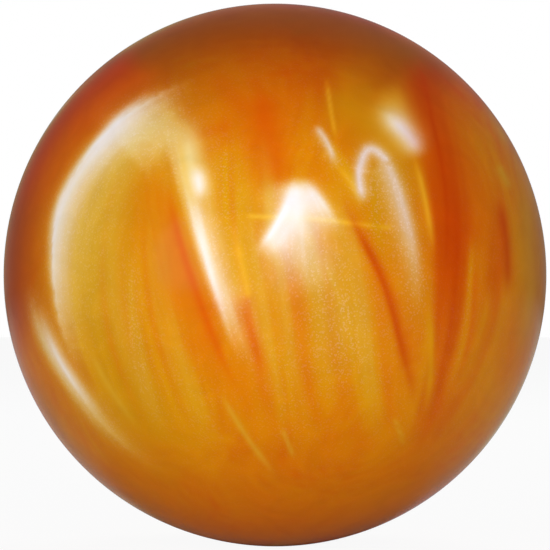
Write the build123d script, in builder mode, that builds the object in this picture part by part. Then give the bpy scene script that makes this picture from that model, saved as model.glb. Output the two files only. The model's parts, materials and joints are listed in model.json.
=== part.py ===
"""A drilled ten-pin bowling ball, taken apart into the pieces it is made of.

The origin is the ball's centre and +Z is up.  The plain face looks along -Y.  The grip, two finger
holes and a thumb hole, is drilled into the upper back, about a line 45 degrees between +Z and +Y.
The thumb hole holds an interchangeable thumb: an inner sleeve with three lugs drops down three slots
of an outer sleeve and locks with an eighth of a turn.  All lengths are in millimetres.
"""

import os
from math import cos, degrees, radians, sin, sqrt

from build123d import *

# The ball and the two shells it is cast from
ball_radius = 108.5
cover_thickness = 22.0

# The weight block, a bulb on a neck, with a denser cap, both about the pin's axis
bulb_radius = 47.0
bulb_drop = 10.0
bulb_base_cut = 6.0
neck_radius = 27.0
neck_top = 50.0
neck_blend = 12.0
neck_edge = 3.0
cap_radius = 21.0
cap_height = 12.0
cap_edge = 2.0

# The pin and the mark at the centre of gravity, placed by tilt from +Z to +Y and by lean to +X
pin_radius = 4.75
pin_tilt = 30.0
pin_lean = -28.0
mark_radius = 1.6
mark_depth = 1.5
mark_tilt = 42.0
mark_lean = -4.0

# The grip: its middle, and the span between the near edges of the thumb and finger bores
grip_tilt = 45.0
span = 95.0

# Finger holes, leaning out a little so that their far ends stay apart
finger_bore_radius = 9.5
insert_wall = 2.8
insert_length = 30.0
finger_hole_relief = 4.0
finger_web = 5.4
finger_pitch = 9.5

# The thumb, from its bore outwards
thumb_bore_radius = 11.9
thumb_bevel = 2.4
slug_floor = 4.0
slug_radius = 15.875
inner_wall = 1.425
running_clearance = 0.05
outer_wall = 1.7
thumb_hole_depth = 63.5
outer_floor = 3.0
inner_floor = 2.0
key_notch_width = 4.0
key_notch_depth = 2.6

# The bayonet lock
lug_count = 3
lug_angle = 20.0
lug_play_angle = 2.0
lug_reach = 1.0
lug_height = 5.0
lug_play = 0.1
lock_turn = 45.0

# The rubber ring that keeps the locked thumb tight
ring_thickness = 2.4
ring_radius = 9.4
ring_clearance = 0.05
boss_clearance = 0.2

proud = 5.0


def direction(tilt: float, lean: float = 0.0) -> Vector:
    """Unit vector tilted from +Z towards +Y, then leaned towards +X, in degrees."""
    tilt, lean = radians(tilt), radians(lean)
    return Vector(sin(lean), cos(lean) * sin(tilt), cos(lean) * cos(tilt))


def section_plane(axis: Vector) -> Plane:
    """Plane through the centre whose Y runs along the axis, for profiles that are revolved."""
    across = Plane(origin=(0, 0, 0), z_dir=axis).x_dir
    return Plane(origin=(0, 0, 0), x_dir=across, z_dir=across.cross(axis))


def disc(plane: Plane, radius: float) -> Sketch:
    """Round face on a plane."""
    with BuildSketch(plane) as face:
        Circle(radius)
    return face.sketch


def drill(plane: Plane, radius: float, depth: float) -> None:
    """Cut a flat-bottomed round hole down from a plane that touches the ball, and clear above it."""
    extrude(disc(plane.offset(-depth), radius), amount=depth + proud, mode=Mode.SUBTRACT)


def bevel(plane: Plane, bore_radius: float, width: float) -> None:
    """Open a bore's mouth out with a cone of 45 degrees that is width wide at the plane."""
    rise = width + proud
    with BuildSketch(Plane(plane.origin, x_dir=plane.x_dir, z_dir=plane.x_dir.cross(plane.z_dir))) as slice:
        with BuildLine():
            Polyline((0, -width), (bore_radius, -width), (bore_radius + rise, proud), (0, proud), close=True)
        make_face()
    revolve(slice.sketch, axis=Axis(plane.origin, plane.z_dir), mode=Mode.SUBTRACT)


# Places of the holes, worked out from the span over the ball's surface
finger_hole_radius = finger_bore_radius + insert_wall
finger_hole_depth = insert_length + finger_hole_relief
finger_offset = finger_hole_radius + finger_web / 2
half_span_angle = degrees((span + thumb_bore_radius + finger_bore_radius) / ball_radius) / 2
finger_tilt = grip_tilt - half_span_angle
thumb_tilt = grip_tilt + half_span_angle


def finger_plane(side: int) -> Plane:
    """Plane on the ball where a finger hole's axis comes out, on the +X (1) or -X (-1) side."""
    mouth = direction(finger_tilt) * sqrt(ball_radius**2 - finger_offset**2)
    mouth += Vector(side * finger_offset, 0, 0)
    aim = Vector(side * finger_pitch, 0, 0)
    return Plane(origin=mouth, z_dir=(mouth - aim).normalized())


middle_finger = finger_plane(1)
ring_finger = finger_plane(-1)

# The thumb axis runs through the ball's centre, and its levels are heights above that centre
thumb_axis = Plane(origin=(0, 0, 0), x_dir=(1, 0, 0), z_dir=direction(thumb_tilt))
thumb_mouth = thumb_axis.offset(ball_radius)
inner_radius = slug_radius + inner_wall
outer_bore_radius = inner_radius + running_clearance
outer_radius = outer_bore_radius + outer_wall
lug_radius = inner_radius + lug_reach
slot_radius = lug_radius + running_clearance
outer_foot = ball_radius - thumb_hole_depth
outer_floor_top = outer_foot + outer_floor
inner_foot = outer_floor_top + ring_thickness + 2 * ring_clearance
slug_foot = inner_foot + inner_floor
thumb_bore_foot = slug_foot + slug_floor
boss_radius = ring_radius - ring_thickness / 2 - ring_clearance
boss_height = inner_foot - outer_floor_top - boss_clearance
lug_slot_half = lug_angle / 2 + lug_play_angle
rim_level = sqrt(ball_radius**2 - inner_radius**2)
reach_out = ball_radius + proud

# The pin's axis, and the levels along it
pin_axis = Plane(origin=(0, 0, 0), z_dir=direction(pin_tilt, pin_lean))
cap_top = neck_top + cap_height
core_radius = ball_radius - cover_thickness
mark_way = direction(mark_tilt, mark_lean)
mark_plane = Plane(origin=mark_way * ball_radius, z_dir=mark_way)


def drill_grip() -> None:
    """Cut the two finger holes and the thumb hole out of a cast piece."""
    for plane in (middle_finger, ring_finger):
        drill(plane, finger_hole_radius, finger_hole_depth)
    drill(thumb_mouth, outer_radius, thumb_hole_depth)


def lug_slices(level: float, radius: float, first: float, last: float) -> Sketch:
    """Pie slices about the thumb axis, one for each lug, between two angles from the lug's middle."""
    with BuildSketch(thumb_axis.offset(level)) as slices:
        for lug in range(lug_count):
            start = first + lug * 360 / lug_count
            with BuildLine():
                rim = CenterArc((0, 0), radius, start, last - first)
                Line((0, 0), rim @ 0)
                Line(rim @ 1, (0, 0))
            make_face()
    return slices.sketch


os.makedirs("parts", exist_ok=True)

# Blanks that other pieces are cut by: the whole ball, the bulb and its cap before drilling
with BuildPart() as ball_blank:
    Sphere(ball_radius)

with BuildPart() as bulb_blank:
    with BuildSketch(section_plane(pin_axis.z_dir)) as bulb_profile:
        with Locations((0, -bulb_drop)):
            Circle(bulb_radius)
        Rectangle(2 * neck_radius, neck_top, align=(Align.CENTER, Align.MIN))
        corners = bulb_profile.vertices().filter_by_position(Axis.Y, neck_radius / 4, neck_top - 1)
        fillet(corners, neck_blend)
        fillet(bulb_profile.vertices().group_by(Axis.Y)[-1], neck_edge)
        with Locations((0, -bulb_drop - bulb_radius)):
            Rectangle(2 * bulb_radius, 2 * bulb_base_cut, mode=Mode.SUBTRACT)
        split(bisect_by=Plane.YZ, keep=Keep.TOP)
    revolve(axis=Axis((0, 0, 0), pin_axis.z_dir))

with BuildPart() as cap_blank:
    with BuildSketch(pin_axis.offset(neck_top)):
        Circle(cap_radius)
    extrude(amount=cap_height)
    fillet(cap_blank.edges().sort_by(Axis((0, 0, 0), pin_axis.z_dir))[-1], cap_edge)

# The pearl shell, with its drilled holes, the pin's hole and the punched mark
with BuildPart() as coverstock:
    Sphere(ball_radius)
    Sphere(core_radius, mode=Mode.SUBTRACT)
    drill_grip()
    extrude(disc(pin_axis, pin_radius), amount=reach_out, mode=Mode.SUBTRACT)
    drill(mark_plane, mark_radius, mark_depth)
coverstock.part.label = "coverstock"
export_step(coverstock.part, "parts/coverstock.step")

# The filler cast round the weight block
with BuildPart() as outer_core:
    Sphere(core_radius)
    add(bulb_blank.part, mode=Mode.SUBTRACT)
    add(cap_blank.part, mode=Mode.SUBTRACT)
    extrude(disc(pin_axis, pin_radius), amount=reach_out, mode=Mode.SUBTRACT)
    drill_grip()
outer_core.part.label = "outer_core"
export_step(outer_core.part, "parts/outer_core.step")

# The weight block, whose shoulder the thumb hole clips
with BuildPart() as weight_block:
    add(bulb_blank.part)
    drill_grip()
weight_block.part.label = "weight_block"
export_step(weight_block.part, "parts/weight_block.step")

with BuildPart() as core_cap:
    add(cap_blank.part)
    drill_grip()
core_cap.part.label = "core_cap"
export_step(core_cap.part, "parts/core_cap.step")

# The coloured pin from the cap to the surface
with BuildPart() as locating_pin:
    with BuildSketch(pin_axis.offset(cap_top)):
        Circle(pin_radius)
    extrude(amount=reach_out - cap_top)
    add(ball_blank.part, mode=Mode.INTERSECT)
locating_pin.part.label = "locating_pin"
export_step(locating_pin.part, "parts/locating_pin.step")

# The paint-filled punch mark
with BuildPart() as centre_mark:
    with BuildSketch(mark_plane.offset(-mark_depth)):
        Circle(mark_radius)
    extrude(amount=mark_depth + proud)
    add(ball_blank.part, mode=Mode.INTERSECT)
centre_mark.part.label = "centre_mark"
export_step(centre_mark.part, "parts/centre_mark.step")

# The two finger inserts, soft tubes glued flush with the ball
with BuildPart() as middle_finger_insert:
    with BuildSketch(middle_finger.offset(-insert_length)):
        Circle(finger_hole_radius)
    extrude(amount=insert_length + proud)
    add(ball_blank.part, mode=Mode.INTERSECT)
    drill(middle_finger, finger_bore_radius, insert_length)
middle_finger_insert.part.label = "middle_finger_insert"
export_step(middle_finger_insert.part, "parts/middle_finger_insert.step")

with BuildPart() as ring_finger_insert:
    with BuildSketch(ring_finger.offset(-insert_length)):
        Circle(finger_hole_radius)
    extrude(amount=insert_length + proud)
    add(ball_blank.part, mode=Mode.INTERSECT)
    drill(ring_finger, finger_bore_radius, insert_length)
ring_finger_insert.part.label = "ring_finger_insert"
export_step(ring_finger_insert.part, "parts/ring_finger_insert.step")

# The outer sleeve, glued in the ball: a slot down to the floor and a groove round it for each lug
with BuildPart() as thumb_outer_sleeve:
    with BuildSketch(thumb_axis.offset(outer_foot)):
        Circle(outer_radius)
    extrude(amount=thumb_hole_depth + proud)
    add(ball_blank.part, mode=Mode.INTERSECT)
    extrude(disc(thumb_axis.offset(outer_floor_top), outer_bore_radius), amount=reach_out, mode=Mode.SUBTRACT)
    slots = lug_slices(inner_foot - lug_play, slot_radius, -lug_slot_half, lug_slot_half)
    extrude(slots, amount=reach_out, mode=Mode.SUBTRACT)
    grooves = lug_slices(inner_foot - lug_play, slot_radius, -lug_slot_half, lock_turn + lug_slot_half)
    extrude(grooves, amount=lug_height + 2 * lug_play, mode=Mode.SUBTRACT)
thumb_outer_sleeve.part.label = "thumb_outer_sleeve"
export_step(thumb_outer_sleeve.part, "parts/thumb_outer_sleeve.step")

# The rubber ring round the inner sleeve's boss
with BuildPart() as preload_ring:
    with BuildSketch(section_plane(thumb_axis.z_dir)):
        with Locations((ring_radius, inner_foot - ring_clearance - ring_thickness / 2)):
            Circle(ring_thickness / 2)
    revolve(axis=Axis((0, 0, 0), thumb_axis.z_dir))
preload_ring.part.label = "preload_ring"
export_step(preload_ring.part, "parts/preload_ring.step")

# The inner sleeve: a cup with a boss below, lugs at its foot and two key notches at its rim
with BuildPart() as thumb_inner_sleeve:
    with BuildSketch(thumb_axis.offset(inner_foot)):
        Circle(inner_radius)
    extrude(amount=reach_out - inner_foot)
    extrude(disc(thumb_axis.offset(inner_foot), boss_radius), amount=-boss_height)
    extrude(lug_slices(inner_foot, lug_radius, -lug_angle / 2, lug_angle / 2), amount=lug_height)
    extrude(disc(thumb_axis.offset(slug_foot), slug_radius), amount=reach_out, mode=Mode.SUBTRACT)
    add(ball_blank.part, mode=Mode.INTERSECT)
    with BuildSketch(thumb_axis.offset(rim_level - key_notch_depth)):
        Rectangle(2 * outer_radius, key_notch_width)
    extrude(amount=key_notch_depth + proud, mode=Mode.SUBTRACT)
thumb_inner_sleeve.part.label = "thumb_inner_sleeve"
export_step(thumb_inner_sleeve.part, "parts/thumb_inner_sleeve.step")

# The thumb slug, glued in the inner sleeve and bored to fit the thumb
with BuildPart() as thumb_slug:
    with BuildSketch(thumb_axis.offset(slug_foot)):
        Circle(slug_radius)
    extrude(amount=reach_out - slug_foot)
    add(ball_blank.part, mode=Mode.INTERSECT)
    extrude(disc(thumb_axis.offset(thumb_bore_foot), thumb_bore_radius), amount=reach_out, mode=Mode.SUBTRACT)
    bevel(thumb_mouth, thumb_bore_radius, thumb_bevel)
thumb_slug.part.label = "thumb_slug"
export_step(thumb_slug.part, "parts/thumb_slug.step")
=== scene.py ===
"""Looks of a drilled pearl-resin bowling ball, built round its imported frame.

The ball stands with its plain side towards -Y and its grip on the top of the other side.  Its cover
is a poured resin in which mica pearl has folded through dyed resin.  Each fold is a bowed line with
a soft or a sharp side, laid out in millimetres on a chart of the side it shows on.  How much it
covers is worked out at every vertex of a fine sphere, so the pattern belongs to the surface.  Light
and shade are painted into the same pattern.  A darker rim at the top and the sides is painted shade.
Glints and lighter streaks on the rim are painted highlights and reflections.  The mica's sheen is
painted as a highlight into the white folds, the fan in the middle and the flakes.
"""

import json
import logging
from dataclasses import dataclass
from enum import Enum
from math import asin, atan, cos, pi, radians, sin, sqrt, tan
from typing import Any

import bmesh
import bpy
import numpy as np
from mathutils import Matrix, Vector


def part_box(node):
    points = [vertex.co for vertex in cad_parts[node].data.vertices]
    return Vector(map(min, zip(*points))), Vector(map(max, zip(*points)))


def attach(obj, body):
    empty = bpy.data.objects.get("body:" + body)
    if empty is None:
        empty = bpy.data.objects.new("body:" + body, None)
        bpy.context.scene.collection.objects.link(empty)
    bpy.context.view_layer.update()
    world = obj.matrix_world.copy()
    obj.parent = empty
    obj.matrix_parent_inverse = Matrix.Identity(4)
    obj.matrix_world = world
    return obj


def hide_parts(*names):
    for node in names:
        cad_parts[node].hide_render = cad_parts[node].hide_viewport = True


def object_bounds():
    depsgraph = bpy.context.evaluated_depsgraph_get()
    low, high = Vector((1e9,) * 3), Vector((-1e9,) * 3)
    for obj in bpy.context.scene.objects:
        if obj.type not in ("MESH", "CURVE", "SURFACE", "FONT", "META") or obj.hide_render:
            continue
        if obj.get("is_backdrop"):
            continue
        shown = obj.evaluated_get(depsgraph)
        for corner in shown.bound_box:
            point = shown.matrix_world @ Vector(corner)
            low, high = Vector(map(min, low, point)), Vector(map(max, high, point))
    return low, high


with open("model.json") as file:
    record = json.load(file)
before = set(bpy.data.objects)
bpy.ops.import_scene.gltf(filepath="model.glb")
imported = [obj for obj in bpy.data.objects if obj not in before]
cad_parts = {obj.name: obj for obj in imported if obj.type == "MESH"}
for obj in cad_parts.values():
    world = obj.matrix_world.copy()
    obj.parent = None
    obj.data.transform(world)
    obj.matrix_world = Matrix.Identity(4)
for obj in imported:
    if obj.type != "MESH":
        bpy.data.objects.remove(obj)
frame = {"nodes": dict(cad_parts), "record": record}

log = logging.getLogger("bowling_ball")

MM = 0.001
BALL_RADIUS = 108.5
VIEW_DISTANCE = 1200.0
RIM_FADE = 30.0


# ---------------------------------------------------------------- colours and shader nodes


def screen(hex_colour: str) -> np.ndarray:
    """The three sRGB values of a hex colour, from 0 to 1."""
    return np.array([int(hex_colour[i:i + 2], 16) / 255 for i in (1, 3, 5)])


def linear(values: np.ndarray) -> np.ndarray:
    """Turn sRGB values to linear ones: a straight foot, then the power 2.4."""
    return np.where(values <= 0.04045, values / 12.92, ((values + 0.055) / 1.055) ** 2.4)


def shade(hex_colour: str) -> tuple[float, float, float, float]:
    """A hex colour as a shader socket takes it, linear and opaque."""
    return (*linear(screen(hex_colour)), 1.0)


def add_node(tree: bpy.types.NodeTree, kind: str, settings: dict[str, Any] | None = None,
             inputs: dict[str | int, Any] | None = None) -> bpy.types.Node:
    """Add a node with its settings, and fill its inputs with values or links.

    Args:
        tree: the tree it goes in.
        kind: Blender's name for the node.
        settings: its properties by name.
        inputs: a value, or another node's output, for each input by name or number.

    Returns:
        The new node.
    """
    node = tree.nodes.new(kind)
    for name, value in (settings or {}).items():
        setattr(node, name, value)
    for name, value in (inputs or {}).items():
        if isinstance(value, bpy.types.NodeSocket):
            tree.links.new(value, node.inputs[name])
        else:
            node.inputs[name].default_value = value
    return node


def new_material(name: str) -> tuple[bpy.types.Material, bpy.types.NodeTree, bpy.types.NodeSocket]:
    """Start a material.

    Args:
        name: the real material and how it was made.

    Returns:
        The material, its emptied tree and the output that gives places in metres.
    """
    material = bpy.data.materials.new(name)
    material.use_nodes = True
    tree = material.node_tree
    tree.nodes.clear()
    place = add_node(tree, "ShaderNodeTexCoord").outputs["Object"]
    return material, tree, place


class Pigment(Enum):
    """What colours the cover's resin, from bright mica with its painted sheen to the bare dye, and a
    painted reflection.
    """

    # the mica's own white, with its sheen painted in as a highlight
    PEARL_AND_SHEEN_WHITE = "#fdf6f8"
    LILAC = "#e8d4d2"
    CREAM = "#f2dda0"
    PALE_GOLD = "#dcae38"
    YELLOW = "#f0b428"
    GOLD = "#dea20c"
    TAN = "#cd9228"
    OCHRE = "#cc8c08"
    # painted reflection of the pale floor, for the lower rim
    ROSE_REFLECTION = "#b07048"
    AMBER = "#de8c06"
    ORANGE = "#da7604"
    RED_ORANGE = "#da5a02"
    BRICK = "#c43c00"
    BROWN = "#944c04"


# ---------------------------------------------------------------- folds of pearl in the cover


@dataclass(frozen=True)
class Fold:
    """A fold of pearl or of bare resin, or a band of painted shade, highlight or reflection, drawn
    along one bowed line.

    Attributes:
        pigment: its colour.
        start: where it begins, (across, up) in millimetres on the chart.
        end: where it ends.
        bow: millimetres that its middle stands off to the left of the straight line, or to the
            right if negative.
        left: millimetres over which it fades on the left of its line.
        right: the same on the right.
        strength: how much it covers at its middle, from 0 to 1.
        ends: shares of its length over which it comes in and goes out.
        strands: depth of the fine lines that run along it, from 0 to 1.
        mica: how much flake it holds, from 0 to 1.
    """

    pigment: Pigment
    start: tuple[float, float]
    end: tuple[float, float]
    bow: float
    left: float
    right: float
    strength: float = 0.9
    ends: tuple[float, float] = (0.25, 0.35)
    strands: float = 0.0
    mica: float = 0.0

    def line(self, steps: int = 90) -> np.ndarray:
        """Sample the fold's line.

        It is the straight line from start to end, moved sideways by four times the bow, times the
        share of the way gone, times the share left, which is a parabola.

        Args:
            steps: how many samples.

        Returns:
            The samples, one row each.
        """
        share = np.linspace(0, 1, steps)[:, None]
        start, chord = np.array(self.start, float), np.subtract(self.end, self.start).astype(float)
        aside = np.array([-chord[1], chord[0]]) / np.hypot(*chord)
        return start + share * chord + 4 * share * (1 - share) * self.bow * aside


P = Pigment

# The broad pools of resin on the face, and a darker brown rim at the top and the sides, which is
# painted shade.  A fold that runs down has the ball's right-hand side on its left.
FACE_POOLS_AND_RIM_SHADE = (
    # painted shade: a darker brown arc along the top rim
    Fold(P.BROWN, (-75, 75), (75, 75), 28, 26, 22, 0.8, (0.1, 0.1)),
    Fold(P.BRICK, (-50, 90), (-100, -40), -28, 13, 16, 0.95, (0.1, 0.2)),
    Fold(P.RED_ORANGE, (-40, 85), (-90, 15), -15, 8, 5, 0.7, (0.2, 0.4)),
    Fold(P.OCHRE, (-55, 55), (-30, -85), -25, 20, 16, 0.9, (0.1, 0.3)),
    Fold(P.ORANGE, (-80, -75), (80, -75), -30, 16, 14, 0.7, (0.1, 0.1)),
    # painted shade: darker brown strips down the right and the left rim
    Fold(P.BROWN, (105, 45), (105, -45), 5, 8, 9, 0.4, (0.3, 0.3)),
    Fold(P.BROWN, (-100, 45), (-105, -35), -5, 9, 8, 0.5, (0.3, 0.3)),
    Fold(P.OCHRE, (15, 75), (50, 20), 12, 14, 12, 0.7, (0.2, 0.3)),
    Fold(P.RED_ORANGE, (-5, 75), (0, 30), 0, 8, 8, 0.8, (0.2, 0.3)),
    Fold(P.GOLD, (-45, 0), (-20, -75), -5, 10, 10, 0.6, (0.3, 0.4), 0.5, 0.3),
    Fold(P.GOLD, (0, -20), (10, -75), 0, 9, 9, 0.5, (0.3, 0.4), 0.5, 0.3),
    Fold(P.GOLD, (35, -15), (40, -70), 3, 8, 8, 0.6, (0.3, 0.4), 0.5, 0.2),
)

# The pearl that lies over them.  Its white, cream and lilac folds are partly the mica's own lighter
# colour and partly its sheen, painted in as a highlight; some marks are painted light alone.
FACE_PEARL_AND_PAINTED_LIGHT = (
    # the big crescent on the left and what lies inside it
    Fold(P.PALE_GOLD, (-35, 70), (-65, -40), -24, 13, 9, 0.8, (0.1, 0.5), 0.3, 0.25),
    Fold(P.CREAM, (-65, 50), (-35, 50), 8, 9, 16, 0.65, (0.2, 0.4), 0.2, 0.9),
    Fold(P.CREAM, (-30, 80), (-75, -45), -35, 10, 2.2, 0.95, (0.35, 0.5), 0.3, 0.7),
    Fold(P.PEARL_AND_SHEEN_WHITE, (-30, 80), (-75, -45), -35, 5.5, 1, 1.0, (0.35, 0.45), 0.3, 1.0),
    Fold(P.PEARL_AND_SHEEN_WHITE, (-45, 75), (-79, 35), -5, 7, 2, 0.8, (0.45, 0.5), 0.2, 1.0),
    Fold(P.CREAM, (-100, 0), (-40, -80), -12, 4, 2.5, 0.85, (0.3, 0.5), 0.3, 0.7),
    Fold(P.PEARL_AND_SHEEN_WHITE, (-95, -10), (-65, -60), -5, 2.6, 1.6, 0.85, (0.4, 0.5), 0.2, 0.9),
    Fold(P.PALE_GOLD, (-55, 20), (-40, -70), -8, 3.5, 4, 0.55, (0.3, 0.4), 0.5, 0.5),
    Fold(P.PALE_GOLD, (-75, -25), (-50, -65), -3, 1.4, 1.6, 0.5, (0.3, 0.4)),
    # bare resin, then the streak that stands sharp against it
    Fold(P.ORANGE, (-50, 52), (-15, -55), -5, 4, 11, 0.95, (0.2, 0.45), 0.3),
    Fold(P.CREAM, (-45, 70), (0, -50), -5, 9, 2, 0.85, (0.2, 0.55), 0.45, 0.8),
    Fold(P.PEARL_AND_SHEEN_WHITE, (-35, 42), (-10, -40), -3, 6, 2, 1.0, (0.35, 0.55), 0.3, 1.0),
    Fold(P.YELLOW, (-38, 60), (-30, 25), -1, 4, 2, 0.7, (0.4, 0.4)),
    Fold(P.CREAM, (-36, 66), (-28, 24), -1, 5, 4, 0.8, (0.4, 0.4)),
    Fold(P.PEARL_AND_SHEEN_WHITE, (-31, 46), (-28, 28), 0, 3.5, 3, 0.9, (0.45, 0.45), 0.0, 0.6),
    Fold(P.GOLD, (-20, 60), (-10, -10), -2, 5, 6, 0.8, (0.25, 0.2), 0.5, 0.3),
    Fold(P.YELLOW, (-16, 25), (-10, -10), 0, 1.4, 2.4, 0.75, (0.5, 0.1)),
    Fold(P.RED_ORANGE, (-44, 42), (-10, -55), -4, 1.8, 2.4, 0.85, (0.3, 0.4)),
    Fold(P.RED_ORANGE, (-15, -5), (0, -45), -1, 3, 3, 0.6, (0.3, 0.4), 0.3),
    # the white fan in the middle, partly pearl and partly a painted highlight where the front lamp
    # reflects, and the tongue that hangs from it
    Fold(P.TAN, (10, 15), (25, -55), 5, 15, 13, 0.6, (0.15, 0.4), 0.4, 0.5),
    Fold(P.PALE_GOLD, (15, 10), (30, -45), 5, 8, 8, 0.6, (0.2, 0.5), 0.4, 0.7),
    Fold(P.LILAC, (8, 25), (16, -12), -2, 12, 10, 0.7, (0.2, 0.7), 0.3, 0.9),
    Fold(P.YELLOW, (-12, 24), (48, 19), 1, 1, 1, 0.95, (0.08, 0.06)),
    Fold(P.PEARL_AND_SHEEN_WHITE, (9, 40), (-8, 8), 2, 10, 2, 1.0, (0.3, 0.3), 0.15, 1.0),
    Fold(P.PEARL_AND_SHEEN_WHITE, (9, 38), (28, 15), 2, 2, 8, 0.95, (0.3, 0.6), 0.15, 1.0),
    Fold(P.PEARL_AND_SHEEN_WHITE, (8, 40), (10, 10), 0, 6, 8, 0.85, (0.25, 0.6), 0.0, 1.0),
    # the small arc, then the hook on the right with its long leg, and the glint above it, a painted
    # highlight
    Fold(P.GOLD, (14, 57), (35, 27), 3, 3, 5, 0.7, (0.3, 0.3), 0.4, 0.3),
    Fold(P.YELLOW, (22, 45), (36, 25), 2, 1.6, 1.6, 0.6, (0.3, 0.4)),
    Fold(P.LILAC, (15, 61), (25, 41), 1, 1.3, 2.2, 0.85, (0.2, 0.4), 0.3, 0.8),
    Fold(P.YELLOW, (20, 80), (24, 52), 0, 1, 1, 0.6, (0.3, 0.3)),
    Fold(P.OCHRE, (40, 50), (48, -5), -3, 6, 6, 0.85, (0.2, 0.5), 0.5, 0.3),
    Fold(P.TAN, (45, 50), (58, -35), 3, 5, 6, 0.8, (0.2, 0.5), 0.4, 0.6),
    Fold(P.LILAC, (37, 28), (33, 42), 1, 2, 2.6, 0.95, (0.5, 0.04), 0.0, 1.0),
    Fold(P.LILAC, (33, 41), (46, 44), 8, 2.4, 3, 0.95, (0.04, 0.15), 0.0, 1.0),
    Fold(P.LILAC, (44, 47), (57, -18), 4, 2.4, 5, 0.9, (0.06, 0.7), 0.2, 1.0),
    # painted highlight: the glint, white with a yellow and a cream glow round it, on a fold of pearl
    Fold(P.YELLOW, (45, 80), (58, 45), 2, 6, 9, 0.8, (0.3, 0.3)),
    Fold(P.CREAM, (38, 70), (60, 46), 2, 6, 5, 0.7, (0.4, 0.3)),
    Fold(P.PEARL_AND_SHEEN_WHITE, (42, 67), (60, 47), 2, 4.5, 3.6, 1.0, (0.45, 0.3), 0.0, 0.6),
    Fold(P.BRICK, (55, 90), (65, -50), 10, 10, 8, 0.95, (0.1, 0.5), 0.15),
    Fold(P.YELLOW, (55, 50), (64, 6), 1, 1.2, 1.4, 0.7, (0.3, 0.4)),
    Fold(P.BRICK, (25, 35), (58, -60), 4, 2.6, 1.5, 0.75, (0.3, 0.4)),
    Fold(P.GOLD, (78, 20), (65, -55), 6, 3.6, 2, 0.8, (0.25, 0.4), 0.4, 0.2),
    Fold(P.RED_ORANGE, (80, 15), (70, -52), 4, 1.8, 1.4, 0.6, (0.3, 0.4)),
    Fold(P.GOLD, (86, 0), (68, -55), 4, 3.4, 2, 0.6, (0.3, 0.4), 0.4),
    Fold(P.GOLD, (62, -10), (60, -60), 2, 1.6, 1.6, 0.7, (0.3, 0.4)),
    # what shows close to the rim and the foot, with painted highlights and painted reflections on the
    # rim
    # painted highlights: two glints near the right rim
    Fold(P.PALE_GOLD, (84, 70), (95, 50), 1, 1.6, 2.6, 0.8, (0.3, 0.3)),
    Fold(P.PALE_GOLD, (88, 45), (94, 33), 0, 1.4, 2, 0.5),
    # painted reflection: a lighter tan strip down the right rim
    Fold(P.TAN, (97, 40), (97, -40), 5, 3, 4, 0.6),
    Fold(P.BRICK, (88, 32), (92, -12), 3, 2, 2, 0.7),
    # painted reflection of the pale floor: rose streaks along the lower left and the lower right rim
    Fold(P.ROSE_REFLECTION, (-98, -35), (-35, -100), -14, 3, 3, 0.45),
    Fold(P.ROSE_REFLECTION, (60, -88), (85, -65), -3, 3, 3, 0.45),
    Fold(P.PALE_GOLD, (-23, -45), (3, -84), -1, 1.2, 1.2, 0.6),
    Fold(P.PALE_GOLD, (3, -60), (8, -75), 0, 1, 1, 0.6),
    Fold(P.PALE_GOLD, (47, -56), (52, -70), 0, 1, 1, 0.5),
)

# The same kinds of fold as they run on the sides that the grip and the shelf hide, with the mica's
# sheen painted into their white folds as a highlight, as on the face
HIDDEN_FOLDS = (
    Fold(P.OCHRE, (-50, 60), (-30, -70), -18, 22, 18, 0.8, (0.2, 0.3)),
    Fold(P.BRICK, (40, 85), (45, -60), 8, 14, 10, 0.8),
    Fold(P.CREAM, (-20, 80), (-40, -55), -32, 11, 2.5, 0.85, (0.3, 0.5), 0.3, 0.8),
    Fold(P.PEARL_AND_SHEEN_WHITE, (-35, 65), (-60, -10), -9, 4, 1.6, 0.8, (0.4, 0.4), 0.2, 1.0),
    Fold(P.ORANGE, (-25, 60), (5, -50), -9, 3, 12, 0.8),
    Fold(P.PALE_GOLD, (-10, 65), (20, -50), -6, 7, 2.2, 0.85, (0.3, 0.5), 0.4, 0.8),
    Fold(P.RED_ORANGE, (15, 50), (40, -50), -3, 5, 2, 0.8),
    Fold(P.LILAC, (35, 40), (55, -40), 10, 2, 5, 0.7, (0.3, 0.5), 0.2, 0.9),
    Fold(P.GOLD, (70, 50), (60, -55), 14, 5, 4, 0.7, (0.3, 0.4), 0.4, 0.3),
)


@dataclass(frozen=True)
class Side:
    """A chart of one half of the ball.

    Attributes:
        turn: degrees that the ball turns about its upright axis to bring this side to the front.
        tip: degrees that it then tips, top first.
        roll: degrees that it then rolls, anticlockwise.
        folds: what is laid out on the chart.
    """

    turn: float
    tip: float
    roll: float
    folds: tuple[Fold, ...]

    def chart(self, places: np.ndarray) -> tuple[np.ndarray, np.ndarray]:
        """Lay places on the ball out flat, as they look from the viewing distance.

        Each place is turned, tipped and rolled.  Its across and up are then divided by its distance
        from the eye, and scaled so that the ball's rim lies one radius from the middle.  How
        squarely it faces the eye eases from 0 at the rim to 1 where it is the rim fade nearer.

        Args:
            places: points in millimetres from the ball's centre.

        Returns:
            The points (across, up), and how squarely each faces the eye, from 0 to 1.
        """
        a, b, c = radians(self.turn), radians(self.tip), radians(self.roll)
        x, y, z = places.T
        x, y = cos(a) * x - sin(a) * y, sin(a) * x + cos(a) * y
        y, z = cos(b) * y - sin(b) * z, sin(b) * y + cos(b) * z
        x, z = cos(c) * x - sin(c) * z, sin(c) * x + cos(c) * z
        scale = VIEW_DISTANCE * sqrt(1 - (BALL_RADIUS / VIEW_DISTANCE) ** 2) / (VIEW_DISTANCE + y)
        rim = BALL_RADIUS**2 / VIEW_DISTANCE
        return np.column_stack([x * scale, z * scale]), ease((-y - rim) / RIM_FADE)


# Between what a fine strand's widths in millimetres, its strength and its ends are drawn
STRAND_WIDTHS = (1.0, 3.2)
STRAND_STRENGTHS = (0.3, 0.65)
STRAND_ENDS = (0.2, 0.6)


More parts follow.
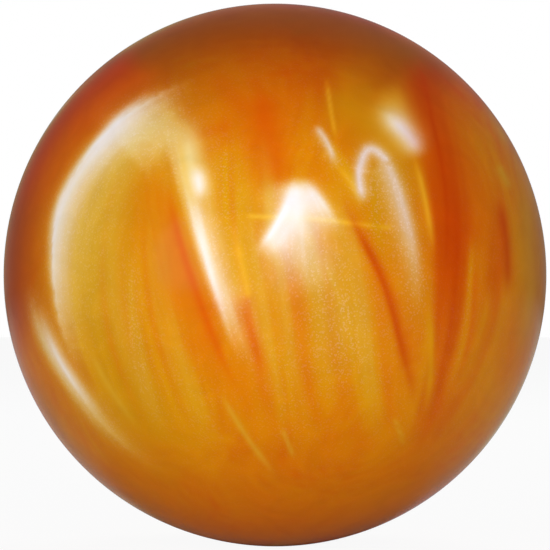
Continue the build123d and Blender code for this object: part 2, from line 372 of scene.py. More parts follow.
def strand_fan(first: Fold, last: Fold, pigments: tuple[Pigment, ...], count: int,
               seed: int) -> tuple[Fold, ...]:
    """Draw out fine strands between two guides.

    A strand's start, end and bow lie the same share of the way from the first guide's to the last
    one's.  Its widths, strength and ends are random.

    Args:
        first: the guide on one side.
        last: the guide on the other.
        pigments: what the strands are made of.
        count: how many there are.
        seed: for the random values.

    Returns:
        The strands.
    """
    rng = np.random.default_rng(seed)
    fan = []
    guides = ((first.start, last.start), (first.end, last.end), (first.bow, last.bow))
    for share in (np.arange(count) + rng.uniform(0, 1, count)) / count:
        start, end, bow = (np.array(a, float) * (1 - share) + np.array(b, float) * share
                           for a, b in guides)
        fan.append(Fold(pigments[rng.integers(len(pigments))], tuple(start), tuple(end), float(bow),
                        *rng.uniform(*STRAND_WIDTHS, 2), strength=rng.uniform(*STRAND_STRENGTHS),
                        ends=tuple(rng.uniform(*STRAND_ENDS, 2)), strands=0.3, mica=0.1))
    return tuple(fan)


def guide(start: tuple[float, float], end: tuple[float, float], bow: float) -> Fold:
    """A fold that only guides strands, so its other values don't matter."""
    return Fold(P.AMBER, start, end, bow, 1, 1)


# Fine strands drawn through the pools of the face: on the left, in the middle and on the right
FACE_STRANDS = (
    *strand_fan(guide((-65, 55), (-60, -65), -18), guide((-40, 55), (-15, -75), -14),
                (P.PALE_GOLD, P.OCHRE, P.GOLD, P.ORANGE), 18, 3),
    *strand_fan(guide((-25, 75), (0, -75), -5), guide((35, 40), (50, -70), 1),
                (P.GOLD, P.AMBER, P.RED_ORANGE, P.PALE_GOLD), 20, 5),
    *strand_fan(guide((50, 65), (50, -75), 12), guide((95, 45), (60, -75), 16),
                (P.GOLD, P.RED_ORANGE, P.ORANGE, P.BRICK), 16, 8),
)

# The other sides share one set of strands and folds, turned so that they lie differently on each
HIDDEN_STRANDS = strand_fan(guide((-80, 60), (-50, -70), -5), guide((70, 70), (60, -60), 13),
                            (P.GOLD, P.RED_ORANGE, P.PALE_GOLD, P.BRICK, P.AMBER), 24, 11)
FACE = Side(0, 0, 0, FACE_POOLS_AND_RIM_SHADE + FACE_STRANDS + FACE_PEARL_AND_PAINTED_LIGHT)
HIDDEN_SIDES = (
    Side(100, 5, 12, HIDDEN_STRANDS + HIDDEN_FOLDS),
    Side(-95, -8, -10, HIDDEN_STRANDS + HIDDEN_FOLDS),
    Side(180, 0, 20, HIDDEN_STRANDS + HIDDEN_FOLDS),
    Side(150, 70, 190, HIDDEN_STRANDS + HIDDEN_FOLDS),
    Side(30, -85, 60, HIDDEN_STRANDS + HIDDEN_FOLDS),
    Side(10, 58, 35, HIDDEN_STRANDS + HIDDEN_FOLDS),
    Side(56, 8, 15, HIDDEN_FOLDS),
    Side(-58, -6, 192, HIDDEN_FOLDS),
)


def ease(x: np.ndarray) -> np.ndarray:
    """Smooth step: 3 x squared less 2 x cubed, held at 0 and 1 outside."""
    x = np.clip(x, 0.0, 1.0)
    return x * x * (3 - 2 * x)


# The power of a fold's fade, and how many widths out it still counts
FADE_POWER = 1.6
FADE_REACH = 3
# The threads in a fold: how many values, millimetres across one, and how many it drifts by its end
THREADS = 64
THREAD_WIDTH = 1.3
THREAD_DRIFT = 4
# How many spots are worked out at a time
BATCH = 8000


def cover_of(fold: Fold, spots: np.ndarray, rng: np.random.Generator) -> np.ndarray:
    """How much a fold covers each spot of its chart.

    The distance to the nearest sample of its line, over the width of that side, is raised to the
    fade's power, and the cover is exp of minus that.  Spots more than three widths outside the
    line's box are left at 0.  The ends fade over their shares of the length.  Strands take away a
    smooth random share, which goes by the distance across the fold in thread widths and drifts
    by four threads along it.  The spots are worked through in batches to save memory.

    Args:
        fold: the fold.
        spots: chart points, one row each.
        rng: where the strands come from.

    Returns:
        The cover of each spot, from 0 to 1.
    """
    line = fold.line()
    lengths = np.hypot(*np.diff(line, axis=0).T)
    along = np.concatenate([[0], np.cumsum(lengths)]) / lengths.sum()
    way = np.gradient(line, axis=0)
    way /= np.hypot(way[:, 0], way[:, 1])[:, None]
    thread = rng.random(THREADS)
    reach = FADE_REACH * max(fold.left, fold.right)
    near = np.all((spots > line.min(0) - reach) & (spots < line.max(0) + reach), axis=1)
    rows = np.flatnonzero(near)
    cover = np.zeros(len(spots))
    for part in np.array_split(rows, len(rows) // BATCH + 1):
        gap = spots[part, None, :] - line[None, :, :]
        nearest = np.einsum("ijk,ijk->ij", gap, gap).argmin(1)
        off, direction, place = gap[np.arange(len(part)), nearest], way[nearest], along[nearest]
        side = direction[:, 0] * off[:, 1] - direction[:, 1] * off[:, 0]
        width = np.where(side > 0, fold.left, fold.right)
        level = np.exp(-(np.hypot(off[:, 0], off[:, 1]) / width) ** FADE_POWER)
        level *= ease(place / fold.ends[0]) * ease((1 - place) / fold.ends[1])
        across = (side / THREAD_WIDTH + THREAD_DRIFT * place) % (THREADS - 1)
        level *= 1 - fold.strands * np.interp(across, np.arange(THREADS), thread)
        cover[part] = fold.strength * level
    return cover


def cloud(places: np.ndarray, size: float, rng: np.random.Generator) -> np.ndarray:
    """Smooth random values over space, mostly from -1.4 to 1.4.

    Sine waves of about the given wavelength run in random directions, and their sum is divided by
    the root of their number.

    Args:
        places: points in millimetres.
        size: the wavelength in millimetres.
        rng: where the directions and phases come from.

    Returns:
        A value for each place.
    """
    count = 16
    waves = rng.normal(size=(count, 3))
    pace = 2 * pi / size * rng.uniform(0.6, 1.4, count)
    waves *= (pace / np.linalg.norm(waves, axis=1))[:, None]
    return np.sin(places @ waves.T + rng.uniform(0, 2 * pi, count)).sum(1) / sqrt(count)


@dataclass(frozen=True)
class Pour:
    """The bare resin, and how the folds are laid over it.

    Attributes:
        row: the pigments that it runs through, from the crown's to the lightest.
        level: where it lies on that row at mid height, counted from 0.
        clouds: sizes of cloud that move it along the row, each as millimetres, steps of the row
            and the squeeze of its height, which draws it out upright.
        crown: steps down the row on the crown, the height in millimetres where they begin, and
            the millimetres over which they come in.
        foot: the same at the foot, downwards.
        stir: millimetres that the clouds are pushed about.
        stir_size: millimetres across what pushes them.
        sway: millimetres that the folds waver.
        sway_size: millimetres across a waver.
        mica: how much flake the bare resin holds.
        seed: for the clouds, the wavers and the strands.
    """

    row: tuple[Pigment, ...] = (P.BROWN, P.BRICK, P.RED_ORANGE, P.ORANGE, P.AMBER, P.OCHRE)
    level: float = 3.5
    clouds: tuple[tuple[float, float, float], ...] = ((80, 0.3, 1), (20, 0.2, 0.3), (7, 0.14, 0.16))
    crown: tuple[float, float, float] = (2.2, 40, 75)
    foot: tuple[float, float, float] = (0.6, 60, 60)
    stir: float = 9.0
    stir_size: float = 60.0
    sway: float = 0.6
    sway_size: float = 50.0
    mica: float = 0.06
    seed: int = 7

    def bare(self, places: np.ndarray, rng: np.random.Generator) -> np.ndarray:
        """The bare resin's colour.

        The level is its value at mid height, plus each cloud times its steps, less the crown's
        and the foot's steps, eased in with height.  The colour is read off the row between the two
        pigments nearest to the level.

        Args:
            places: points on the ball in millimetres from its centre.
            rng: where the clouds come from.

        Returns:
            sRGB values, one row each.
        """
        stirred = places + self.stir * np.column_stack(
            [cloud(places, self.stir_size, rng) for _ in range(3)])
        level = np.full(len(places), self.level)
        for size, steps, squeeze in self.clouds:
            level += steps * cloud(stirred * (1, 1, squeeze), size, rng)
        height = places[:, 2]
        level -= sum(steps * ease((reached - begin) / over) for reached, (steps, begin, over) in (
            (height, self.crown), (-height, self.foot)))
        row = np.array([screen(pigment.value) for pigment in self.row])
        return np.column_stack([np.interp(level, np.arange(len(row)), part) for part in row.T])

    def paint(self, places: np.ndarray) -> tuple[np.ndarray, np.ndarray]:
        """Work out the poured resin's colour, painted shade, highlights and reflections included, and
        its share of mica.

        The hidden sides' folds are laid over the bare resin, held back from the face, and the
        face's folds come last.  A fold moves the colour and the mica towards its own by its cover.

        Args:
            places: points in millimetres from the ball's centre.

        Returns:
            sRGB values, one row each, and the mica, one value each.
        """
        rng = np.random.default_rng(self.seed)
        places = places * (BALL_RADIUS / np.linalg.norm(places, axis=1))[:, None]
        colour = self.bare(places, rng)
        mica = np.full(len(places), self.mica)
        facing_front = FACE.chart(places)[1]
        for side in (*HIDDEN_SIDES, FACE):
            spots, facing = side.chart(places)
            spots = spots + self.sway * np.column_stack(
                [cloud(places, self.sway_size, rng) for _ in range(2)])
            allowed = facing if side is FACE else facing * (1 - facing_front)
            for fold in side.folds:
                cover = cover_of(fold, spots, rng) * allowed
                colour += (screen(fold.pigment.value) - colour) * cover[:, None]
                mica += (fold.mica - mica) * cover
        return colour, mica


# ---------------------------------------------------------------- finishes


@dataclass(frozen=True)
class PearlResin:
    """Cast polyurethane with mica pearl, wet-sanded and polished: deep colour under a clear gloss.

    Attributes:
        name: the material's name.
        flake: millimetres across a flake.  Real mica is 0.05 mm, drawn coarser so that it shows.
        flake_glint_colour: sRGB hex of a flake that catches the light.
        flat: the share of flakes that don't.
        sparkle: how far the brightest flake's painted glint covers the resin under it.
        flow: millimetres between the faint curls where the pour was stirred.
        roughness: of the polished surface.
        ior: typical of polyurethane.
        gloss: level of the mirror-like part, kept low so that the colour stays deep.
        coat: weight of the wax left by polishing.
        coat_roughness: of that wax.
    """

    name: str = "Cast pearl polyurethane, polished"
    flake: float = 0.55
    flake_glint_colour: str = "#fff4f6"
    flat: float = 0.7
    sparkle: float = 0.22
    flow: float = 16.0
    roughness: float = 0.17
    ior: float = 1.5
    gloss: float = 0.045
    coat: float = 0.02
    coat_roughness: float = 0.12

    def material(self) -> bpy.types.Material:
        """Mix painted flake glints and curls into the painted resin, and return the material."""
        material, tree, place = new_material(self.name)
        resin = add_node(tree, "ShaderNodeAttribute", {"attribute_name": "resin"}).outputs["Color"]
        mica = add_node(tree, "ShaderNodeAttribute", {"attribute_name": "mica"}).outputs["Fac"]
        curl = add_node(tree, "ShaderNodeTexNoise", {}, {
            "Vector": place, "Scale": 1 / (self.flow * MM), "Detail": 7.0, "Distortion": 1.4})
        tone = add_node(tree, "ShaderNodeMapRange", {}, {
            "Value": curl.outputs["Fac"], "From Min": 0.3, "From Max": 0.7,
            "To Min": 0.96, "To Max": 1.03})
        toned = add_node(tree, "ShaderNodeVectorMath", {"operation": "SCALE"}, {
            0: resin, "Scale": tone.outputs[0]}).outputs[0]
        # painted glints: random cells of flake, where the mesh holds mica, are mixed towards a
        # near-white in the base colour
        cells = add_node(tree, "ShaderNodeTexVoronoi", {}, {
            "Vector": place, "Scale": 1 / (self.flake * MM)}).outputs["Color"]
        chance = add_node(tree, "ShaderNodeSeparateColor", {}, {0: cells}).outputs[0]
        bright = add_node(tree, "ShaderNodeMapRange", {}, {
            "Value": chance, "From Min": self.flat, "From Max": 1.0,
            "To Min": 0.0, "To Max": self.sparkle})
        flake_glint = add_node(tree, "ShaderNodeMath", {"operation": "MULTIPLY"}, {
            0: bright.outputs[0], 1: mica}).outputs[0]
        colour = add_node(tree, "ShaderNodeMix", {"data_type": "RGBA"}, {
            0: flake_glint, 6: toned, 7: shade(self.flake_glint_colour)}).outputs[2]
        shader = add_node(tree, "ShaderNodeBsdfPrincipled", {}, {
            "Base Color": colour, "Roughness": self.roughness, "IOR": self.ior,
            "Specular IOR Level": self.gloss, "Coat Weight": self.coat,
            "Coat Roughness": self.coat_roughness})
        add_node(tree, "ShaderNodeOutputMaterial", {}, {"Surface": shader.outputs[0]})
        return material


@dataclass(frozen=True)
class SolidFinish:
    """A cast or moulded solid in two tones that cloud into each other, with a faint relief.

    Attributes:
        name: the real material and how it was made.
        colour: sRGB hex of the body.
        second: sRGB hex of the cloudy second tone.
        cloud: millimetres across a patch of it.
        share: how much of it shows, from 0 to 1.
        roughness: of the surface.
        ior: typical of the material.
        grain: millimetres across the relief's grains.
        relief: millimetres that they stand out.
    """

    name: str
    colour: str
    second: str
    cloud: float
    share: float
    roughness: float
    ior: float
    grain: float
    relief: float

    def material(self) -> bpy.types.Material:
        """Mix the two tones by noise, raise the grain, and return the material."""
        material, tree, place = new_material(self.name)
        patches = add_node(tree, "ShaderNodeTexNoise", {}, {
            "Vector": place, "Scale": 1 / (self.cloud * MM), "Detail": 4.0, "Distortion": 0.6})
        amount = add_node(tree, "ShaderNodeMapRange", {}, {
            "Value": patches.outputs["Fac"], "From Min": 0.4, "From Max": 0.65,
            "To Min": 0.0, "To Max": self.share})
        colour = add_node(tree, "ShaderNodeMix", {"data_type": "RGBA"}, {
            0: amount.outputs[0], 6: shade(self.colour), 7: shade(self.second)}).outputs[2]
        grains = add_node(tree, "ShaderNodeTexNoise", {}, {
            "Vector": place, "Scale": 1 / (self.grain * MM), "Detail": 2.0})
        relief = add_node(tree, "ShaderNodeBump", {}, {
            "Height": grains.outputs["Fac"], "Distance": self.relief * MM, "Strength": 0.6})
        shader = add_node(tree, "ShaderNodeBsdfPrincipled", {}, {
            "Base Color": colour, "Roughness": self.roughness, "IOR": self.ior,
            "Normal": relief.outputs[0]})
        add_node(tree, "ShaderNodeOutputMaterial", {}, {"Surface": shader.outputs[0]})
        return material


# ---------------------------------------------------------------- meshes


@dataclass(frozen=True)
class Axis:
    """A bore's line, with two directions square to it.

    Attributes:
        foot: a point on it, in millimetres.
        way: its unit direction, outwards.
    """

    foot: np.ndarray
    way: np.ndarray

    def around(self, angles: np.ndarray) -> np.ndarray:
        """Unit directions square to the axis: a times the angle's cosine plus b times its sine."""
        a = np.cross(self.way, (1.0, 0.0, 0.0))
        a /= np.linalg.norm(a)
        b = np.cross(self.way, a)
        return np.cos(angles)[..., None] * a + np.sin(angles)[..., None] * b

    def skin(self, angles: np.ndarray, radii: np.ndarray) -> np.ndarray:
        """Heights above the foot where lines beside the axis meet the ball's skin.

        From the side point s, the height is minus s along the axis, plus the root of its square
        less s squared plus the ball's radius squared.

        Args:
            angles: round the axis.
            radii: away from it, in millimetres.

        Returns:
            The heights in millimetres.
        """
        side = self.foot + radii[..., None] * self.around(angles)
        lean = side @ self.way
        return -lean + np.sqrt(lean**2 - (side**2).sum(-1) + BALL_RADIUS**2)


def solid_from_grid(name: str, grid: np.ndarray, ring: bool) -> bpy.types.Object:
    """Close a grid of points into a solid's mesh object.

    The first parameter goes round and meets itself.  The second does too if it is a ring, and
    otherwise starts and ends in a pole, whose repeated points are merged.

    Args:
        name: the piece's name.
        grid: places in millimetres, by turn, by step along the profile.
        ring: whether the profile meets itself.

    Returns:
        The object, its faces outwards.
    """
    turns, steps = grid.shape[:2]
    number = np.arange(turns * steps).reshape(turns, steps)
    beside = np.roll(number, -1, axis=0)
    if ring:
        corners = (number, beside, np.roll(beside, -1, axis=1), np.roll(number, -1, axis=1))
    else:
        corners = (number[:, :-1], beside[:, :-1], beside[:, 1:], number[:, 1:])
    faces = np.stack(corners, axis=-1).reshape(-1, 4)
    mesh = bpy.data.meshes.new(name)
    mesh.from_pydata((grid.reshape(-1, 3) * MM).tolist(), [], faces.tolist())
    work = bmesh.new()
    work.from_mesh(mesh)
    bmesh.ops.remove_doubles(work, verts=work.verts, dist=1e-7)
    bmesh.ops.recalc_face_normals(work, faces=work.faces)
    work.to_mesh(mesh)
    work.free()
    solid = bpy.data.objects.new(name, mesh)
    bpy.context.scene.collection.objects.link(solid)
    return solid


def ball_solid(name: str, radius: float, bands: np.ndarray, turns: int) -> bpy.types.Object:
    """A sphere about the Y axis: angle from -Y by angle round it.

    Args:
        name: the solid's name.
        radius: in millimetres.
        bands: angles from -Y, from 0 to pi.
        turns: steps round the axis.

    Returns:
        The object.
    """
    angle, band = np.meshgrid(np.linspace(0, 2 * pi, turns, endpoint=False), bands, indexing="ij")
    across, up = np.sin(band) * np.cos(angle), np.sin(band) * np.sin(angle)
    return solid_from_grid(name, radius * np.stack([across, -np.cos(band), up], -1), ring=False)


def rod_solid(name: str, axis: Axis, radius: float, low: float, high: float,
              turns: int = 128) -> bpy.types.Object:
    """A rod along an axis, for cutting a bore: radius 0, the radius twice and 0 again, by height.

    Args:
        name: the solid's name.
        axis: its line.
        radius: in millimetres.
        low: height of its lower end above the axis's foot.
        high: height of its upper end.
        turns: steps round it.

    Returns:
        The object.
    """
    radii, heights = np.array([0, radius, radius, 0]), np.array([low, low, high, high])
    angle = np.linspace(0, 2 * pi, turns, endpoint=False)
    grid = (axis.foot + radii[None, :, None] * axis.around(angle)[:, None, :]
            + heights[None, :, None] * axis.way)
    return solid_from_grid(name, grid, ring=False)


def smooth_shaded(piece: bpy.types.Object, sharp_degrees: float) -> None:
    """Shade a piece smooth, apart from edges sharper than the angle."""
    piece.data.shade_smooth()
    piece.data.set_sharp_from_angle(angle=radians(sharp_degrees))


def finish_piece(piece: bpy.types.Object, material: bpy.types.Material, body: str,
                 nodes: tuple[str, ...]) -> None:
    """Give a new piece its material and its place in the frame.

    Args:
        piece: the piece, where it stands at rest.
        material: its finish.
        body: the body it moves with.
        nodes: the CAD nodes that it stands for.
    """
    piece.data.materials.clear()
    piece.data.materials.append(material)
    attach(piece, body)
    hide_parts(*nodes)
    log.info("%s: %d faces", piece.name, len(piece.data.polygons))


def dress_node(name: str, material: bpy.types.Material) -> None:
    """Give a CAD node that stays as it is its finish."""
    node = frame["nodes"][name]
    node.data.materials.clear()
    node.data.materials.append(material)
    log.info("%s: CAD shape, %s", name, material.name)


def mount_axis(name: str) -> Axis:
    """The line of one of the record's bores, with its foot at the mouth.

    The record gives the bore's middle, and the mouth is half its length further out.

    Args:
        name: the mount's name.

    Returns:
        The axis, in millimetres.
    """
    mount = next(m for m in frame["record"]["mounts"] if m["name"] == name)
    way = np.array(mount["axis"], float)
    middle = np.array(mount["pos_m"], float) / MM
    return Axis(middle + way * mount["dims"]["length_mm"] / 2, way)


# ---------------------------------------------------------------- the ball's sub-assemblies


@dataclass
class Coverstock:
    """The poured pearl shell, with its bores.

    Attributes:
        thickness: of the shell, in millimetres.
        finger_hole: radius of each finger's drilled hole.
        thumb_hole: radius of the thumb's.
        pin_hole: radius of the locating pin's.
        mark_hole: radius of the grip mark's.
        mark_depth: its depth.
        front_bands: rings of vertices on the face, about 0.8 mm apart.
        back_bands: rings on the far half, about 3.9 mm apart.
        turns: vertices in a ring.
        pour: its resin's pattern.
        finish: its material.
    """

    thickness: float = 22.0
    finger_hole: float = 12.3
    thumb_hole: float = 19.05
    pin_hole: float = 4.75
    mark_hole: float = 1.6
    mark_depth: float = 1.5
    front_bands: int = 205
    back_bands: int = 45
    turns: int = 370
    pour: Pour = Pour()
    finish: PearlResin = PearlResin()

    def pressed_in(self, node: str) -> Axis:
        """The line from the ball's centre through a small piece that is set flush in the shell."""
        low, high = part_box(node)
        way = np.array((low + high) / 2)
        return Axis(np.zeros(3), way / np.linalg.norm(way))

    def cutters(self) -> list[bpy.types.Object]:
        """The inner ball and the rods that are taken out of the solid ball.

        Each rod starts inside the hollow, apart from the mark's, and ends outside the ball.  A
        finger's heights are from the mouth of its hole, and the others' from the ball's centre.
        """
        inside, beyond = 70, BALL_RADIUS + 6
        below, above = -34, 8
        thumb, pin, mark = map(self.pressed_in, ("thumb_slug", "locating_pin", "centre_mark"))
        cut = [ball_solid("cut_inside", BALL_RADIUS - self.thickness, np.linspace(0, pi, 33), 64)]
        for finger in ("middle_finger_hole", "ring_finger_hole"):
            cut.append(rod_solid(f"cut_{finger}", mount_axis(finger), self.finger_hole, below, above))
        cut.append(rod_solid("cut_thumb", thumb, self.thumb_hole, inside, beyond))
        cut.append(rod_solid("cut_pin", pin, self.pin_hole, inside, beyond, turns=64))
        floor = BALL_RADIUS - self.mark_depth
        cut.append(rod_solid("cut_mark", mark, self.mark_hole, floor, beyond, turns=32))
        return cut

    def build(self) -> None:
        """Cut the bores from a fine ball, paint what is left, and put it in the frame."""
        bands = np.concatenate([np.linspace(0, pi / 2, self.front_bands, endpoint=False),
                                np.linspace(pi / 2, pi, self.back_bands)])
        shell = ball_solid("pearl_coverstock", BALL_RADIUS, bands, self.turns)
        bpy.context.view_layer.objects.active = shell
        for cutter in self.cutters():
            cut = shell.modifiers.new(cutter.name, "BOOLEAN")
            cut.operation, cut.solver, cut.object = "DIFFERENCE", "MANIFOLD", cutter
            bpy.ops.object.modifier_apply(modifier=cut.name)
            bpy.data.objects.remove(cutter)
        self.paint(shell.data)
        smooth_shaded(shell, 40)
        finish_piece(shell, self.finish.material(), "ball", ("coverstock",))

    def paint(self, mesh: bpy.types.Mesh) -> None:
        """Store the resin's linear colour, painted light included, and its mica on the mesh's
        vertices.
        """
        places = np.empty(len(mesh.vertices) * 3, np.float32)
        mesh.vertices.foreach_get("co", places)
        colour, mica = self.pour.paint(places.reshape(-1, 3).astype(float) / MM)
        opaque = np.column_stack([linear(colour), np.ones(len(colour))])
        resin = mesh.attributes.new("resin", "FLOAT_COLOR", "POINT")
        resin.data.foreach_set("color", opaque.astype(np.float32).ravel())
        flake = mesh.attributes.new("mica", "FLOAT", "POINT")
        flake.data.foreach_set("value", mica.astype(np.float32))


@dataclass
class FingerInsert:
    """A moulded urethane grip, glued in a finger's hole flush with the ball.

    Attributes:
        name: the CAD node it stands for.
        mount: the record's name of its bore.
        outer: its radius.
        bore: its bore's radius.
        length: in millimetres.
        lip: radius of the rounded edge of its bore.
        seam: radius of its outer edge, which leaves a fine line round it.
        ribs: gripping ribs round the bore.
        rib_height: in millimetres.
        turns: vertices round it.
    """

    name: str
    mount: str
    outer: float = 12.3
    bore: float = 9.5
    length: float = 30.0
    lip: float = 1.6
    seam: float = 0.3
    ribs: int = 20
    rib_height: float = 0.25
    turns: int = 160

    def grid(self, axis: Axis) -> np.ndarray:
        """The insert's surface, by turn and by step along a closed profile.

        The profile goes up the outside, round the seam's and the lip's quarter circles, down the
        bore and back under.  Heights of the upper part are the ball's skin, less the quarter
        circles' drop, and the rest are shares of the length.  Between the ribs the bore's radius
        grows by half the ribs' height times one less the cosine of the angle times their number.

        Args:
            axis: the line of its hole, with its foot at the mouth.

        Returns:
            The places in millimetres.
        """
        outside, corner, face, down = 3, 7, 2, 12
        upper = 2 * corner + face
        quarter = np.linspace(0, pi / 2, corner)
        level = np.linspace(self.outer - self.seam, self.bore + self.lip, face + 2)[1:-1]
        radii = np.concatenate([[self.outer] * outside, self.outer - self.seam * (1 - np.cos(quarter)),
                                level, self.bore + self.lip * (1 - np.sin(quarter)),
                                [self.bore] * down])
        drop = np.concatenate([[0] * outside, self.seam * (1 - np.sin(quarter)), [0] * face,
                               self.lip * (1 - np.cos(quarter)), [0] * down])
        depth = np.concatenate([[1, 0.6, 0.1], np.zeros(upper), np.linspace(0.12, 1, down)])
        turns = np.linspace(0, 2 * pi, self.turns, endpoint=False)
        angle, radius = np.meshgrid(turns, radii, indexing="ij")
        ribbed = ease((np.arange(len(radii)) - outside - upper - 1) / 3)
        radius = radius + ribbed * self.rib_height * (0.5 - 0.5 * np.cos(self.ribs * angle))
        height = np.where(depth == 0, axis.skin(angle, radius) - drop, -self.length * depth)
        return axis.foot + radius[..., None] * axis.around(angle) + height[..., None] * axis.way

    def build(self, material: bpy.types.Material) -> None:
        """Make the insert and put it in the frame."""
        piece = solid_from_grid(f"{self.name}_grip", self.grid(mount_axis(self.mount)), ring=True)
        smooth_shaded(piece, 45)
        finish_piece(piece, material, "ball", (self.name,))


@dataclass
class Grip:
    """The two finger inserts and the thumb's interchangeable slug, sleeves and ring.

    Attributes:
        inserts: the finger inserts.
        urethane: their finish.  Soft moulded urethane is matt, with a skin as fine as leather.
        slug: the thumb slug's, cast and bored, a little glossier.
        outer_sleeve: injection-moulded acetal, with a satin face.
        inner_sleeve: the same in a second colour, so that the two are told apart.
        ring: moulded nitrile rubber, which is matt and dark.
    """

    inserts: tuple[FingerInsert, ...] = (
        FingerInsert("middle_finger_insert", "middle_finger_hole"),
        FingerInsert("ring_finger_insert", "ring_finger_hole"),
    )
    urethane: SolidFinish = SolidFinish(
        "Moulded urethane, soft", "#3a2a1e", "#4a3626", 6, 0.5, 0.55, 1.5, 0.4, 0.02)
    slug: SolidFinish = SolidFinish(
        "Cast urethane, bored", "#2c2119", "#3c2d20", 9, 0.5, 0.4, 1.5, 0.6, 0.01)
    outer_sleeve: SolidFinish = SolidFinish(
        "Acetal, injection moulded, black", "#1d1c1b", "#262423", 8, 0.4, 0.35, 1.48, 0.3, 0.005)
    inner_sleeve: SolidFinish = SolidFinish(
        "Acetal, injection moulded, ivory", "#d9cfb8", "#cfc3a8", 10, 0.4, 0.35, 1.48, 0.3, 0.005)
    ring: SolidFinish = SolidFinish(
        "Nitrile rubber, moulded", "#232323", "#2c2b2a", 5, 0.4, 0.75, 1.52, 0.3, 0.02)

    def build(self) -> None:
        """Make the inserts and dress the thumb's parts, which keep their CAD shape."""
        urethane = self.urethane.material()
        for insert in self.inserts:
            insert.build(urethane)
        dress_node("thumb_outer_sleeve", self.outer_sleeve.material())
        dress_node("preload_ring", self.ring.material())
        dress_node("thumb_inner_sleeve", self.inner_sleeve.material())
        dress_node("thumb_slug", self.slug.material())


@dataclass
class Core:
    """What is inside the cover, and the pin and the mark that show where it lies.

    Attributes:
        filler: cast resin with ground filler, which is dull and speckled.
        block: a heavier cast with barytes, darker.
        cap: the block's cap, poured in another colour.
        pin: a dyed rod of the same resin as the cap, polished flush with the ball.
        mark: enamel in a drilled dot.
    """

    filler: SolidFinish = SolidFinish(
        "Filled resin, cast", "#a9a294", "#8f8878", 4, 0.8, 0.7, 1.55, 1.0, 0.05)
    block: SolidFinish = SolidFinish(
        "Barytes resin, cast", "#4b5a6a", "#364452", 10, 0.8, 0.6, 1.57, 0.8, 0.03)
    cap: SolidFinish = SolidFinish(
        "Barytes resin, cast, ochre", "#b08636", "#93702a", 8, 0.7, 0.6, 1.57, 0.8, 0.03)
    pin: SolidFinish = SolidFinish(
        "Dyed resin rod, polished", "#f0e6cc", "#e4d4ae", 3, 0.5, 0.2, 1.5, 0.5, 0.0)
    mark: SolidFinish = SolidFinish(
        "Enamel, filled dot", "#f6f2ea", "#ece6da", 2, 0.4, 0.25, 1.5, 0.4, 0.0)

    def build(self) -> None:
        """Dress the core's parts, which keep their CAD shape."""
        dress_node("outer_core", self.filler.material())
        dress_node("weight_block", self.block.material())
        dress_node("core_cap", self.cap.material())
        dress_node("locating_pin", self.pin.material())
        dress_node("centre_mark", self.mark.material())


# ---------------------------------------------------------------- the studio


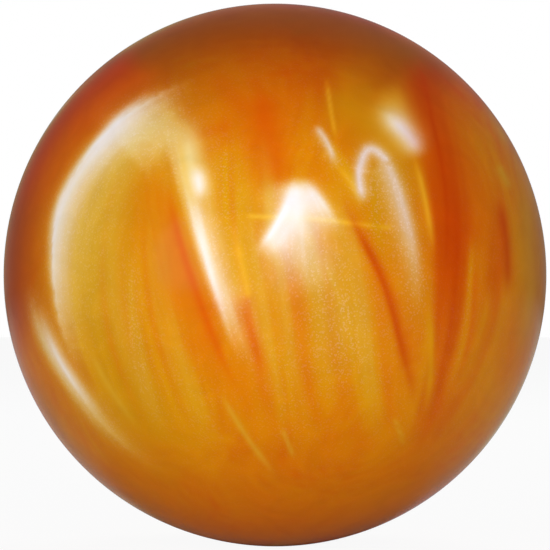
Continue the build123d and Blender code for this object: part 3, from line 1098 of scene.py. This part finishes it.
@dataclass(frozen=True)
class Softbox:
    """A round soft light that faces the ball.

    Attributes:
        name: the light's name.
        place: where it hangs, in metres.
        size: metres across it.
        watts: its power.
        mirrored: whether the ball's gloss shows it.
    """

    name: str
    place: tuple[float, float, float]
    size: float
    watts: float
    mirrored: bool = True

    def hang(self) -> None:
        """Make the light, turn it to the ball's centre and keep it out of the model."""
        lamp = bpy.data.lights.new(self.name, "AREA")
        lamp.shape, lamp.energy, lamp.size = "DISK", self.watts, self.size
        box = bpy.data.objects.new(self.name, lamp)
        box.location = self.place
        box.rotation_euler = (-Vector(self.place)).to_track_quat("-Z", "Y").to_euler()
        box.visible_glossy = self.mirrored
        bpy.context.scene.collection.objects.link(box)
        box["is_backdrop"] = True


@dataclass
class Studio:
    """A pale floor, soft light and the camera.

    Attributes:
        fill: the share of the frame's half width that the ball's rim reaches.
        floor_size: metres across the floor.
        ambient: strength of the light from all round.
        paper_glow: how far the floor is lifted to white for the eye, as paper lit from below is.
        softboxes: the lights, in front, on the left and behind.
    """

    fill: float = 0.987
    floor_size: float = 8.0
    ambient: float = 0.21
    paper_glow: float = 0.93
    softboxes: tuple[Softbox, ...] = (
        Softbox("key_softbox", (0.2, -1.35, 0.16), 0.7, 10),
        Softbox("fill_softbox", (-0.75, -1.15, 0.15), 0.8, 6),
        Softbox("back_softbox", (0.2, 1.1, 1.2), 0.9, 12, mirrored=False),
    )

    def lay_floor(self) -> None:
        """Lay a white floor under the ball."""
        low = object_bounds()[0][2]
        half = self.floor_size / 2
        mesh = bpy.data.meshes.new("studio_floor")
        corners = [(x * half, y * half, low) for x, y in ((-1, -1), (1, -1), (1, 1), (-1, 1))]
        mesh.from_pydata(corners, [], [(0, 1, 2, 3)])
        floor = bpy.data.objects.new("studio_floor", mesh)
        bpy.context.scene.collection.objects.link(floor)
        material, tree, _ = new_material("Studio paper, white")
        lit = add_node(tree, "ShaderNodeBsdfPrincipled", {}, {
            "Base Color": shade("#dcdcdc"), "Roughness": 0.9})
        seen = add_node(tree, "ShaderNodeLightPath").outputs["Is Camera Ray"]
        share = add_node(tree, "ShaderNodeMath", {"operation": "MULTIPLY"}, {
            0: seen, 1: self.paper_glow})
        glow = add_node(tree, "ShaderNodeEmission", {}, {"Color": (1, 1, 1, 1)})
        paper = add_node(tree, "ShaderNodeMixShader", {}, {
            0: share.outputs[0], 1: lit.outputs[0], 2: glow.outputs[0]})
        add_node(tree, "ShaderNodeOutputMaterial", {}, {"Surface": paper.outputs[0]})
        mesh.materials.append(material)
        floor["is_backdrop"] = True

    def light_room(self) -> None:
        """White walls to the eye, and a weaker even light on the ball."""
        world = bpy.data.worlds.new("studio")
        world.use_nodes = True
        tree = world.node_tree
        tree.nodes.clear()
        seen = add_node(tree, "ShaderNodeLightPath").outputs["Is Camera Ray"]
        strength = add_node(tree, "ShaderNodeMapRange", {}, {
            "Value": seen, "To Min": self.ambient, "To Max": 1.0})
        light = add_node(tree, "ShaderNodeBackground", {}, {
            "Color": (1, 1, 1, 1), "Strength": strength.outputs[0]})
        add_node(tree, "ShaderNodeOutputWorld", {}, {"Surface": light.outputs[0]})
        bpy.context.scene.world = world

    def place_camera(self) -> None:
        """Stand the camera level with the ball's centre, with the ball filling the frame."""
        lens = bpy.data.cameras.new("camera")
        lens.sensor_width = 36.0
        lens.angle = 2 * atan(tan(asin(BALL_RADIUS / VIEW_DISTANCE)) / self.fill)
        camera = bpy.data.objects.new("camera", lens)
        camera.location = (0, -VIEW_DISTANCE * MM, 0)
        camera.rotation_euler = (pi / 2, 0, 0)
        bpy.context.scene.collection.objects.link(camera)
        bpy.context.scene.camera = camera

    def build(self) -> None:
        """Set up the floor, the lights and the camera."""
        self.lay_floor()
        self.light_room()
        for softbox in self.softboxes:
            softbox.hang()
        self.place_camera()
        bpy.context.scene.view_settings.view_transform = "Standard"


def main() -> None:
    """Build the ball's looks and the studio."""
    logging.basicConfig(level=logging.INFO, format="%(message)s")
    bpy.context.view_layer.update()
    Coverstock().build()
    Grip().build()
    Core().build()
    Studio().build()


if __name__ == "__main__":
    main()
